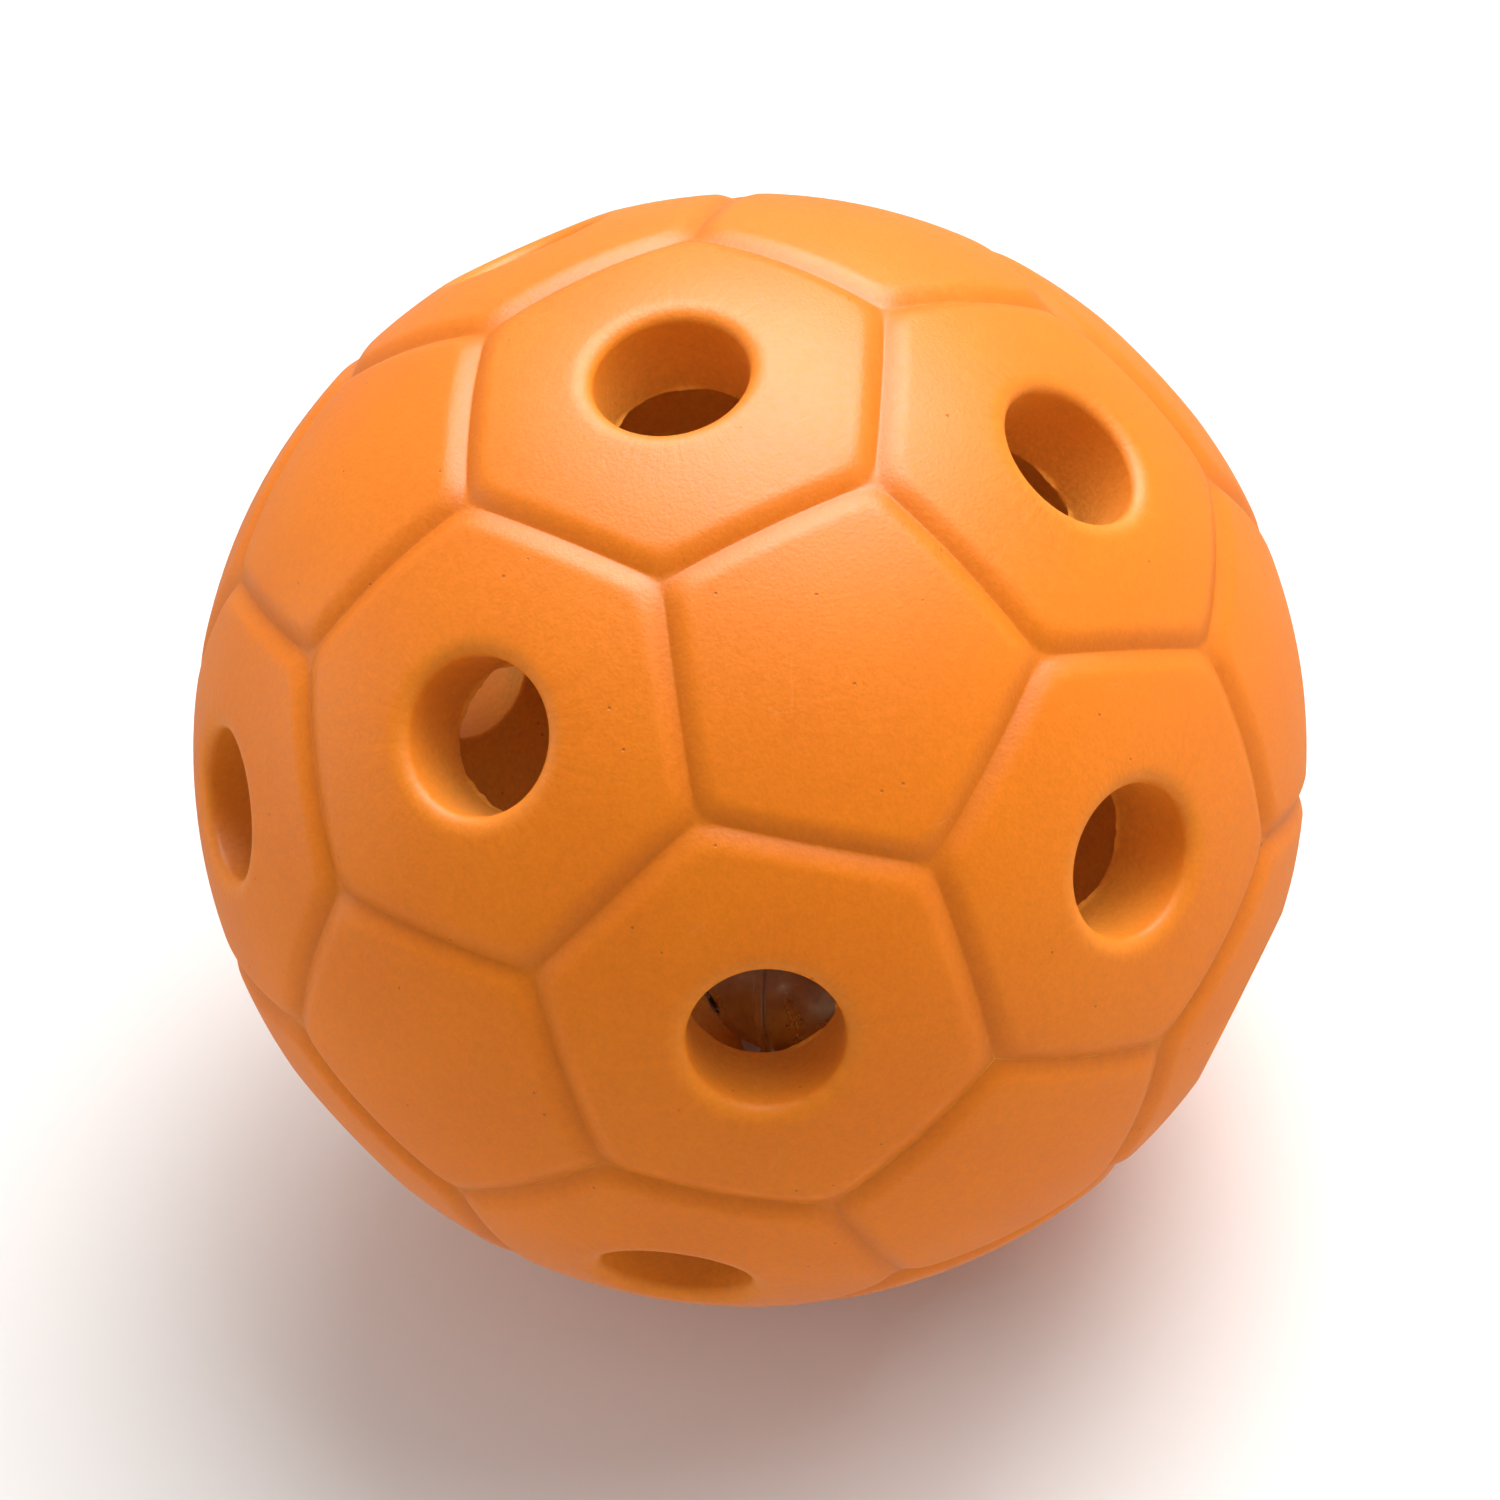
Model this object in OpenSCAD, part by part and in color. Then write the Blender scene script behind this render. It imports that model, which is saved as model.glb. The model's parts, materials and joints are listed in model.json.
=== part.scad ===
// Sound football: a moulded foam-rubber ball in two halves, open through the middle of every
// six-sided panel, with one loose jingle bell rolling inside. Millimetres. The origin is the ball's
// centre, and +Z runs out through the middle of a six-sided panel, so the ball stands on the rim of
// the hole at -Z. The side seen first faces -Y.

/* [Ball] */
// Outside diameter of the ball
ball_d = 180; // [160:5:220]
// Thickness of the foam-rubber wall
wall_t = 17; // [14:0.5:19]
// Diameter of the hole through each six-sided panel
hole_d = 24; // [18:1:26]
// Radius of the rounded edge around the outside of each hole
hole_edge_r = 4; // [2:0.5:5]

/* [Panel seams] */
// Width of the moulded channel between panels
seam_w = 4.4; // [3:0.2:6]
// Depth of the channel
seam_depth = 1.2; // [0.6:0.1:1.6]

/* [Jingle bell] */
// Outside diameter of the bell's two round cups
bell_d = 33; // [28:0.5:34]
// Thickness of the pressed sheet
sheet_t = 0.8; // [0.6:0.1:1]
// Width of the crossed slots in the lower cup
slot_w = 2.2; // [1.5:0.1:3]
// Diameter of the round end of each slot
slot_end_d = 4.8; // [4:0.1:5.5]
// Diameter of the loop's wire
wire_d = 2; // [1.6:0.1:2.2]
// Diameter of the steel pellet inside the bell
pellet_d = 7; // [5:0.5:8]

/* [Hidden] */
$fn = 96;

foam = "#EE862D";
steel = "#C9CCD1";
pellet_steel = "#8F9398";

// Ball
ball_r = ball_d / 2;
cavity_r = ball_r - wall_t;
hole_r = hole_d / 2;
beyond = 1.06 * ball_r;             // past the outer surface in every cut
edge_break = 0.1;                   // how far each hole's rounded edge stops short of tangent

// Latitudes of the five-sided panels' centres, on a ball that stands on a six-sided panel
five_high = asin(sqrt((5 + 2 * sqrt(5)) / 15));
five_low = asin(sqrt((5 - 2 * sqrt(5)) / 15));
THIRDS = [0, 120, 240];
between_corners = 20;               // a direction about Z that passes well clear of every corner
pattern_turn = 15;                  // of the whole pattern about Z, from a five-sided panel over -Y

// Bell
bell_r = bell_d / 2;
cup_in_r = bell_r - sheet_t;
rim_t = 0.6;                        // thickness of the cups' flat rims
rim_r = bell_r + 0.4;               // outside of the lower cup's rim
crimp_gap = 0.05;
crimp_r = rim_r + crimp_gap + 0.6;  // outside of the rim folded over it
cup_gap = 0.15;                     // between the fold's edge and the lower cup
roll_gap = 0.3;                     // between the bell and the inner rim of the hole under it
bell_drop = sqrt(pow(cavity_r, 2) - pow(hole_r, 2)) - crimp_r - roll_gap;
bell_yaw = -30;                     // direction of the bell's own axis, about Z
slot_reach = 50;                    // from the bell's pole to each slot's round end, degrees
loop_r = 4;                         // of the wire's centre line
wire_r = wire_d / 2;
foot_z = cup_in_r - wire_d;         // height of the wire's bent feet, inside the cup
pellet_r = pellet_d / 2;
pellet_drop = cup_in_r - pellet_r - 0.3;

function unit(v) = v / norm(v);
function polar(turn, lat) = [cos(lat) * cos(turn), cos(lat) * sin(turn), sin(lat)];

// Two five-sided panels are neighbours where their centres are one short side apart
function near(a, b) = a * b > 0.4 && a * b < 0.5;
// Corner of five-sided panel a that points towards its neighbour b
function corner(a, b) = unit(2 * a + b);

// Centres of the twelve five-sided panels, the upper half's six first and their opposites after
upper_fives = concat([for (t = THIRDS) polar(t - 90, five_high)],
                     [for (t = THIRDS) polar(t + 90, five_low)]);
fives = concat(upper_fives, -1 * upper_fives);

// The upper half's panels, each as its centre and one of its corners
five_panels = [for (a = upper_fives) [a, corner(a, [for (b = fives) if (near(a, b)) b][0])]];
six_panels = [for (i = [0:11], j = [0:11], k = [0:11])
    let(a = fives[i], b = fives[j], c = fives[k])
        if (i < j && j < k && near(a, b) && near(b, c) && near(a, c) && (a + b + c)[2] > 0)
            [unit(a + b + c), corner(a, b)]];

// The joint between the halves follows 18 seams round the ball. Three five-sided panels of each half
// reach across the equator as teeth, and each has three corners on the joint.
function tooth(turn, way) = let(panel = polar(turn, -way * five_low))
    [corner(panel, polar(turn - 60, way * five_low)),
     corner(panel, polar(turn, way * five_high)),
     corner(panel, polar(turn + 60, way * five_low))];
joint = [for (t = THIRDS, i = [0, 1]) each tooth(t - 90 + 60 * i, 1 - 2 * i)];

// Stands a shape drawn about +Z along v, with its +X turned towards point c
module facing(v, c) {
    x = unit(c - (c * v) * v);
    y = cross(v, x);
    multmatrix([for (i = [0:2]) [x[i], y[i], v[i], 0]]) children();
}

// One raised panel with n sides, down to well below the channel floor. Its sides stay half a
// channel away from the planes through the ball's centre and the seams.
module pad(panel, n) {
    side_angle = atan(tan(acos(panel[0] * panel[1])) * cos(180 / n));
    low = 0.7 * ball_r;
    high = beyond;
    function across(z) = (z * tan(side_angle) - seam_w / 2 / cos(side_angle)) / cos(180 / n);
    facing(panel[0], panel[1]) intersection() {
        rotate([0, 90, 0]) sphere(ball_r);
        translate([0, 0, low]) cylinder(h = high - low, r1 = across(low), r2 = across(high), $fn = n);
    }
}

// Cutter for one through hole along +Z, with the rounded edge at the ball's surface
module hole_cutter() {
    edge_x = hole_r + hole_edge_r;
    edge_z = sqrt(pow(ball_r - hole_edge_r + edge_break, 2) - pow(edge_x, 2));
    lean = beyond / norm([edge_x, edge_z]);
    start = cavity_r - 6;
    rotate_extrude() difference() {
        polygon([[0, start], [hole_r, start], [hole_r, edge_z], [edge_x, edge_z],
                 [edge_x * lean, edge_z * lean], [0, beyond]]);
        translate([edge_x, edge_z]) circle(hole_edge_r);
    }
}

// Everything above the joint, out past the ball's surface
module joint_cone() {
    reach = 3 * ball_r;
    n = len(joint);
    polyhedron(
        concat([[0, 0, 0]], reach * joint, [[0, 0, reach]]),
        [for (i = [0:n - 1]) let(p = i + 1, q = (i + 1) % n + 1) each [[0, p, q], [n + 1, q, p]]]);
}

// One moulding: ten six-sided panels and six five-sided ones
module half() {
    difference() {
        intersection() {
            union() {
                rotate([0, 0, between_corners]) sphere(ball_r - seam_depth);
                for (p = five_panels) pad(p, 5);
                for (p = six_panels) pad(p, 6);
            }
            joint_cone();
        }
        rotate([0, 0, between_corners]) sphere(cavity_r);
        for (p = six_panels) facing(p[0], p[1]) hole_cutter();
    }
}

module upper_half() {
    color(foam) rotate([0, 0, pattern_turn]) half();
}

// The same moulding, turned over about X, where the pattern repeats
module lower_half() {
    color(foam) rotate([180, 0, pattern_turn]) half();
}

// Puts the bell's own frame in place: its +Z runs out through the loop, and lies level
module bell_place() {
    translate([0, 0, -bell_drop]) rotate([0, 90, bell_yaw]) children();
}

// Half of a hollow ball above z = 0, in the bell's own frame
module dome() {
    difference() {
        sphere(bell_r);
        sphere(cup_in_r);
        translate([-bell_d, -bell_d, -2 * bell_d]) cube(2 * bell_d);
    }
}

// Flat ring from z to z + t
module ring(r_in, r_out, z, t) {
    translate([0, 0, z]) difference() {
        cylinder(h = t, r = r_out);
        translate([0, 0, -1]) cylinder(h = t + 2, r = r_in);
    }
}

// The cup that carries the loop. Its rim is folded over the lower cup's.
module bell_upper_cup() {
    fold_z = -rim_t - crimp_gap;
    color(steel) bell_place() difference() {
        union() {
            dome();
            ring(cup_in_r + sheet_t / 2, crimp_r, 0, rim_t);
            ring(rim_r + crimp_gap, crimp_r, fold_z - rim_t, rim_t - fold_z + 0.01);
            ring(bell_r + cup_gap, crimp_r, fold_z - rim_t, rim_t);
        }
        for (s = [-1, 1]) translate([s * loop_r, 0, 0]) cylinder(h = bell_d, r = wire_r + 0.05);
    }
}

// The cup with crossed slots, each ending in a round hole
module bell_lower_cup() {
    slot_x = bell_r * sin(slot_reach);
    slot_z = cup_in_r * cos(slot_reach);
    color(steel) bell_place() difference() {
        union() {
            mirror([0, 0, 1]) dome();
            ring(cup_in_r + sheet_t / 2, rim_r, -rim_t, rim_t);
        }
        for (t = [0, 90]) rotate([0, 0, t]) {
            translate([-slot_x, -slot_w / 2, -bell_d]) cube([2 * slot_x, slot_w, bell_d - slot_z]);
            for (s = [-1, 1]) rotate([0, s * slot_reach, 0])
                translate([0, 0, -bell_d]) cylinder(h = bell_d, d = slot_end_d);
        }
    }
}

// Bent wire: an arch outside the cup, two legs through it and a foot on each
module bell_loop() {
    color(steel) bell_place() {
        translate([0, 0, bell_r + 1]) rotate([90, 0, 0])
            rotate_extrude(angle = 180) translate([loop_r, 0]) circle(wire_r);
        for (s = [-1, 1]) {
            translate([s * loop_r, 0, foot_z]) cylinder(h = bell_r + 1 - foot_z, r = wire_r);
            translate([s * loop_r, 0, foot_z]) sphere(wire_r);
            translate([s * loop_r, 0, foot_z]) rotate([0, -s * 90, 0]) cylinder(h = 2.6, r = wire_r);
        }
    }
}

// Loose steel ball that strikes the cups
module bell_pellet() {
    color(pellet_steel) translate([0, 0, -bell_drop - pellet_drop]) sphere(pellet_r);
}

upper_half();
lower_half();
bell_upper_cup();
bell_lower_cup();
bell_loop();
bell_pellet();
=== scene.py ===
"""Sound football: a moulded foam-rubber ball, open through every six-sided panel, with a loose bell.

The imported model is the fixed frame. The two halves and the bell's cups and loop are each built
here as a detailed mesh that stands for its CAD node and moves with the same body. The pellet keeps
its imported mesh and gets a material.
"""

import json
import math

import bmesh
import bpy
import numpy as np
from bpy.props import FloatProperty, FloatVectorProperty, PointerProperty
from bpy.types import Operator, Panel, PropertyGroup
from mathutils import Matrix, Vector, noise


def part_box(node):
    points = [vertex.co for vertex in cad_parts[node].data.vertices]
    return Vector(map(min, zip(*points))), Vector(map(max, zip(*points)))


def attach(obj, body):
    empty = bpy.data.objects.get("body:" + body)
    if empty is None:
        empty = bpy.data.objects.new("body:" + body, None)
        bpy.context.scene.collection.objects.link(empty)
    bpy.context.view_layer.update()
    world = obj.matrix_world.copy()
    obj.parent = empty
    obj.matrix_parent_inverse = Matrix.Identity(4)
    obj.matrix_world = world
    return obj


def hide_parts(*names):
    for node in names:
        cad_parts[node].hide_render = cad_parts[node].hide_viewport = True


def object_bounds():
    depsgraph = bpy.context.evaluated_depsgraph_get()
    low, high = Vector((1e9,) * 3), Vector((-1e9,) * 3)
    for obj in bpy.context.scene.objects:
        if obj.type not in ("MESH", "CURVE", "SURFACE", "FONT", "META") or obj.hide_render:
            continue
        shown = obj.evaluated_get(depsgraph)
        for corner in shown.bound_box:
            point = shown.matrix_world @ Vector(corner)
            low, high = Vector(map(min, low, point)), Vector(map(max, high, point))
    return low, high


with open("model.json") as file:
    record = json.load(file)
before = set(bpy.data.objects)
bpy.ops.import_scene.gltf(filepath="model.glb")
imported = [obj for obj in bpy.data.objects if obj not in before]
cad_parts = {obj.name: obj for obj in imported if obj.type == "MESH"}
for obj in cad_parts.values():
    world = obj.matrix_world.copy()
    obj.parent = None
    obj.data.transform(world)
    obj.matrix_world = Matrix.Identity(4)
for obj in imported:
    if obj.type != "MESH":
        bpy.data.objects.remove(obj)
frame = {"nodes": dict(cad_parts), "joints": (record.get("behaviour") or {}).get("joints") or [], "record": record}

bl_info = {
    "name": "Sound football",
    "version": (1, 0, 0),
    "blender": (4, 5, 0),
    "location": "View3D > Sidebar > Sound football",
    "description": "Moulded foam-rubber football with sound holes and a loose jingle bell",
    "category": "Add Mesh",
}

MM = 0.001


def plain(box):
    """A bounding box as plain lists of numbers."""
    return [[float(x) for x in corner] for corner in box]


CAD_BOX = plain(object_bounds())

# What the frame says: the ball's radius, its holes, and where the bell lies
HOLES = [m for m in frame["record"]["mounts"] if m["kind"] == "bore"]
HOLE_AXES = np.array([m["axis"] for m in HOLES], float)
HOLE_R = HOLES[0]["dims"]["r_mm"] * MM
BORE_INNER_END = float(np.linalg.norm(HOLES[0]["pos_m"])) - HOLES[0]["dims"]["length_mm"] * MM / 2
CAVITY_R = math.hypot(BORE_INNER_END, HOLE_R)
JOINTS = {j["name"]: j for j in frame["joints"]}
BELL_CENTRE = Vector(JOINTS["pellet_roll"]["pos_m"])
BELL_AXIS = Vector(JOINTS["pellet_roll"]["axis"])
BALL_R = round(max(CAD_BOX[1]) / MM) * MM


def half_height(node):
    """Half of a bell node's height, which is its widest radius about the bell's level axis."""
    low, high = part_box(node)
    return (high.z - low.z) / 2


CRIMP_R = half_height("bell_upper_cup")
CUP_RIM_R = half_height("bell_lower_cup")
LOOP_OUTER_R = half_height("bell_loop")
FLOOR_Z = CAD_BOX[0][2]


def linear(hex_colour):
    """Linear RGBA from an sRGB hex value."""
    parts = [int(hex_colour[i : i + 2], 16) / 255 for i in (1, 3, 5)]
    curve = [c / 12.92 if c <= 0.04045 else ((c + 0.055) / 1.055) ** 2.4 for c in parts]
    return (*curve, 1.0)


# ---------------------------------------------------------------- what a user would change


class FoamSettings(PropertyGroup):
    """Sizes and colours of the foam-rubber ball"""

    radius: FloatProperty(
        name="Radius", description="Outside radius of the ball",
        default=BALL_R, subtype="DISTANCE", unit="LENGTH")
    cavity: FloatProperty(
        name="Cavity", description="Radius of the hollow inside",
        default=CAVITY_R, subtype="DISTANCE", unit="LENGTH")
    hole: FloatProperty(
        name="Hole", description="Radius of each sound hole",
        default=HOLE_R, subtype="DISTANCE", unit="LENGTH")
    lip: FloatProperty(
        name="Hole edge width", description="How far each hole's rounded edge reaches across the skin",
        default=3.6 * MM, subtype="DISTANCE", unit="LENGTH")
    lip_drop: FloatProperty(
        name="Hole edge depth", description="How far the rounded edge reaches down each hole",
        default=2.4 * MM, subtype="DISTANCE", unit="LENGTH")
    seam_depth: FloatProperty(
        name="Seam depth", description="Depth of the moulded channel between panels",
        default=1.35 * MM, subtype="DISTANCE", unit="LENGTH")
    seam_reach: FloatProperty(
        name="Seam reach", description="How far each channel's soft shoulder reaches from its middle",
        default=3.5 * MM, subtype="DISTANCE", unit="LENGTH")
    colour: FloatVectorProperty(
        name="Foam", description="Colour of the foam rubber's skin",
        default=linear("#EB7D08"), size=4, subtype="COLOR", min=0, max=1)
    # Paler and more golden than the skin: partly the open foam's own colour, partly painted light for the light
    # bouncing inside the ball
    inner: FloatVectorProperty(
        name="Inner foam", description="Colour down the holes and in the cavity, where the skin is thin",
        default=linear("#F6AE42"), size=4, subtype="COLOR", min=0, max=1)
    deep: FloatVectorProperty(
        name="Deep tone", description="Colour of the pores and of the deeper mottling",
        default=linear("#E0700C"), size=4, subtype="COLOR", min=0, max=1)


class BellSettings(PropertyGroup):
    """Sizes and colours of the jingle bell"""

    sheet: FloatProperty(
        name="Sheet", description="Thickness of the pressed steel sheet",
        default=0.8 * MM, subtype="DISTANCE", unit="LENGTH")
    wire: FloatProperty(
        name="Wire", description="Diameter of the loop's wire",
        default=2.0 * MM, subtype="DISTANCE", unit="LENGTH")
    slot: FloatProperty(
        name="Slot", description="Width of the crossed slots",
        default=2.2 * MM, subtype="DISTANCE", unit="LENGTH")
    slot_end: FloatProperty(
        name="Slot end", description="Diameter of the round end of each slot",
        default=4.8 * MM, subtype="DISTANCE", unit="LENGTH")
    # Darker and warmer than bright nickel: painted reflection of the orange foam round the bell
    plate: FloatVectorProperty(
        name="Plate", description="Colour of the nickel plate",
        default=linear("#B3A48C"), size=4, subtype="COLOR", min=0, max=1)


class StageSettings(PropertyGroup):
    """Camera and light"""

    turn: FloatProperty(
        name="Turn", description="Camera's direction about Z",
        default=math.radians(-2.65), subtype="ANGLE")
    height: FloatProperty(
        name="Height", description="Camera's angle above level",
        default=math.radians(48.84), subtype="ANGLE")
    roll: FloatProperty(
        name="Roll", description="Camera's tilt about its own line of sight",
        default=math.radians(-12.0), subtype="ANGLE")
    distance: FloatProperty(
        name="Distance", description="From the camera to the middle of the ball",
        default=0.965, subtype="DISTANCE", unit="LENGTH")
    floor: FloatVectorProperty(
        name="Floor", description="Colour of the plain floor",
        default=linear("#EBEBE9"), size=4, subtype="COLOR", min=0, max=1)


# ---------------------------------------------------------------- panel pattern


def unit(v):
    return v / np.linalg.norm(v)


def polar(turn, latitude):
    """Direction at a turn about Z in degrees and a latitude in radians."""
    t = math.radians(turn)
    return np.array([
        math.cos(latitude) * math.cos(t), math.cos(latitude) * math.sin(t), math.sin(latitude)])


def five_sided_centres():
    """Centres of the twelve five-sided panels, on a ball that stands on a six-sided one."""
    beside = next(m["axis"] for m in HOLES if m["name"] == "upper_hole_1")
    turn = math.degrees(math.atan2(beside[1], beside[0]))
    high = math.asin(math.sqrt((5 + 2 * math.sqrt(5)) / 15))
    low = math.asin(math.sqrt((5 - 2 * math.sqrt(5)) / 15))
    upper = [polar(turn + t, high) for t in (60, 180, 300)] + [polar(turn + t, low) for t in (0, 120, 240)]
    return upper + [-v for v in upper]


def corner(a, b):
    """Corner of five-sided panel a that points towards its neighbour b."""
    return unit(2 * a + b)


def ordered(centre, corners):
    """Corners in order of turn about a panel's centre."""
    x = unit(corners[0] - centre * (corners[0] @ centre))
    y = np.cross(centre, x)
    return sorted(corners, key=lambda c: math.atan2(c @ y, c @ x) % (2 * math.pi - 1e-6))


def panels():
    """Each panel as its centre, its corners in order and the index of its hole, or None."""
    fives = five_sided_centres()
    near = [[b for b in fives if 0.4 < a @ b < 0.5] for a in fives]
    found = [(a, ordered(a, [corner(a, b) for b in around]), None) for a, around in zip(fives, near)]
    for index, axis in enumerate(HOLE_AXES):
        centre = unit(axis)
        three = sorted(fives, key=lambda v: -(v @ centre))[:3]
        corners = [corner(a, b) for a in three for b in three if a is not b]
        found.append((centre, ordered(centre, corners), index))
    return found


# ---------------------------------------------------------------- foam-rubber halves

SIDE_STEPS = 22                  # mesh columns along each panel side
SEAM_ROWS = [0, 0.08, 0.22, 0.48, 0.78, 1.12, 1.5, 1.92, 2.4, 2.95, 3.6, 4.4, 5.4, 6.8]  # mm from the seam
FACE_ROWS = 9                    # from there to the hole's edge or the panel's centre
LIP_ROWS = 9                     # round the hole's outer edge
BORE_ROWS = [11, 9.2, 7.4, 5.8, 4.4, 3.2, 2.2, 1.5, 1, 0.65, 0.4, 0.22, 0.1, 0]  # mm above the inner rim
RIM_ROWS = 4                     # round the hole's inner edge
CAVITY_ROWS = 8
WALL_ROWS = 6                    # of the joint's faces
CORNER_BLEND = 3.0 * MM          # how widely a panel's corners are rounded
V_ROUND = 0.2 * MM               # rounding at the bottom of each channel
SHOULDER = 1.4                   # 1 makes a channel's sides flat, and more leaves them hollow
SWELL = 0.11 * MM                # slow unevenness that moulding leaves
SWELL_SIZE = 26 * MM
RIM_R = 0.7 * MM                 # rounding of each hole's inner edge
FLASH = 0.75 * MM                # how far thin flash stands out from a hole's inner edge
FLASH_WIDTH = 0.35 * MM
FLASH_WAVES = 2.3                # how often the flash comes and goes round a hole
FLASH_TEETH = 11                 # and how fine its torn edge is
CENTRE_GAP = 0.02                # angle of the last ring round a plain panel's centre
RIM_FADE = 9 * MM                # how far the marks of a hole's edge reach, both ways
CALM = 6 * MM                    # how far from a hole's edge the slow unevenness dies away


def smooth_least(a, b, k):
    """The lesser of two distances, rounded where they are nearly equal."""
    h = np.clip(0.5 + 0.5 * (b - a) / k, 0, 1)
    return b * (1 - h) + a * h - k * h * (1 - h)


def noise_at(points, size):
    """Smooth noise at each point, from about -1 to 1."""
    return np.array([noise.noise(Vector(p) / size) for p in points.reshape(-1, 3)])


def along_arc(a, b, steps):
    """Directions from a towards b along a great circle, without b itself."""
    angle = math.acos(a @ b)
    t = np.arange(steps)[:, None] / steps
    return (np.sin((1 - t) * angle) * a + np.sin(t * angle) * b) / math.sin(angle)


def weights(rows, columns, seam=0.0, rim=0.0, inside=0.0):
    """Marks for each point of a grid: how deep in a seam, how near a hole's edge, how far inside."""
    parts = [np.broadcast_to(np.asarray(v, float), (rows, columns)) for v in (seam, rim, inside)]
    return np.stack(parts, axis=-1)


class Sheet:
    """Collects grids of quads and their points' marks."""

    def __init__(self):
        self.points, self.marks, self.turns, self.faces = [], [], [], []
        self.count = 0

    def keep(self, points, marks, turns):
        self.points.append(points.reshape(-1, 3))
        self.marks.append(marks.reshape(-1, 3))
        self.turns.append(turns.reshape(-1, 3))
        first, self.count = self.count, self.count + self.points[-1].shape[0]
        return first

    def grid(self, points, marks, turns, closed=True):
        """points is rows by columns. Rows run inwards and columns anticlockwise, seen from outside."""
        rows, columns = points.shape[:2]
        first = self.keep(points, marks, np.broadcast_to(turns, points.shape))
        ids = np.arange(rows * columns).reshape(rows, columns) + first
        if closed:
            ids = np.hstack([ids, ids[:, :1]])
        quads = [ids[:-1, :-1], ids[:-1, 1:], ids[1:, 1:], ids[1:, :-1]]
        self.faces += np.stack(quads, axis=-1).reshape(-1, 4).tolist()
        return ids

    def fan(self, ring, point, mark, turn):
        """Closes a ring with triangles to one point."""
        tip = self.keep(point, mark, turn)
        self.faces += [[a, b, tip] for a, b in zip(ring[:-1], ring[1:])]

    def mesh(self, name):
        """The grids as one welded, closed, smooth mesh with its marks as attributes."""
        mesh = bpy.data.meshes.new(name)
        mesh.from_pydata(np.vstack(self.points).tolist(), [], self.faces)
        marks = np.vstack(self.marks)
        for i, mark in enumerate(("seam", "rim", "inside")):
            values = mesh.attributes.new(mark, "FLOAT", "POINT").data
            values.foreach_set("value", marks[:, i].astype(np.float32))
        turns = mesh.attributes.new("turn", "FLOAT_VECTOR", "POINT").data
        turns.foreach_set("vector", np.vstack(self.turns).astype(np.float32).ravel())
        bm = bmesh.new()
        bm.from_mesh(mesh)
        bmesh.ops.remove_doubles(bm, verts=bm.verts, dist=0.002 * MM)
        open_edges = [e for e in bm.edges if len(e.link_faces) != 2]
        if open_edges:
            raise RuntimeError(f"{name} has {len(open_edges)} open edges")
        bm.to_mesh(mesh)
        bm.free()
        mesh.shade_smooth()
        mesh.set_sharp_from_angle(angle=math.radians(55))
        return mesh


class PanelPlan:
    """One panel's columns: where each runs from the seam towards the panel's centre."""

    def __init__(self, centre, corners):
        self.centre = centre
        self.x = unit(corners[0] - centre * (corners[0] @ centre))
        self.y = np.cross(centre, self.x)
        following = corners[1:] + corners[:1]
        self.sides = [unit(np.cross(a, b)) for a, b in zip(corners, following)]
        self.edge = np.vstack([along_arc(a, b, SIDE_STEPS) for a, b in zip(corners, following)])
        self.turn = np.arctan2(self.edge @ self.y, self.edge @ self.x)
        self.out = np.cos(self.turn)[:, None] * self.x + np.sin(self.turn)[:, None] * self.y
        self.own_side = np.repeat(np.array(self.sides), SIDE_STEPS, axis=0)
        self.reach = np.arccos(np.clip(self.edge @ centre, -1, 1))

    def angle_at(self, distance, radius):
        """Angle from the panel's centre at which each column is this far from its own side."""
        a = self.own_side @ self.centre
        b = -np.sum(self.out * self.own_side, axis=1)
        return np.arccos(math.sin(distance / radius) / np.hypot(a, b)) - np.arctan2(b, a)

    def direction(self, angles):
        """Unit vectors at these angles from the centre, one row of columns each."""
        return np.cos(angles)[..., None] * self.centre + np.sin(angles)[..., None] * self.out

    def in_hole(self, across, height):
        """Points at a distance from the hole's axis and a height along it."""
        return height[..., None] * self.centre + across[..., None] * self.out


def seam_share(directions, plan, foam):
    """How deep in a channel each direction is, from 0 on a panel to 1 at the bottom."""
    distance = None
    for side in plan.sides:
        d = foam.radius * np.arcsin(np.clip(directions @ side, -1, 1))
        distance = d if distance is None else smooth_least(distance, d, CORNER_BLEND)
    d = np.sqrt(np.maximum(distance, 0) ** 2 + V_ROUND**2) - V_ROUND
    return np.clip(1 - d / foam.seam_reach, 0, 1) ** SHOULDER


def skin(directions, plan, foam, level=1.0):
    """Outer surface points and their seam marks. level scales the slow unevenness."""
    share = seam_share(directions, plan, foam)
    swell = SWELL * level * noise_at(directions * foam.radius, SWELL_SIZE).reshape(share.shape)
    radius = foam.radius - SWELL - foam.seam_depth * share + swell
    return directions * radius[..., None], share


def blended(start, end, count):
    """Rows of angles from start, left out, to end."""
    t = (np.arange(1, count + 1) / count)[:, None]
    return start * (1 - t) + end * t


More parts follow.
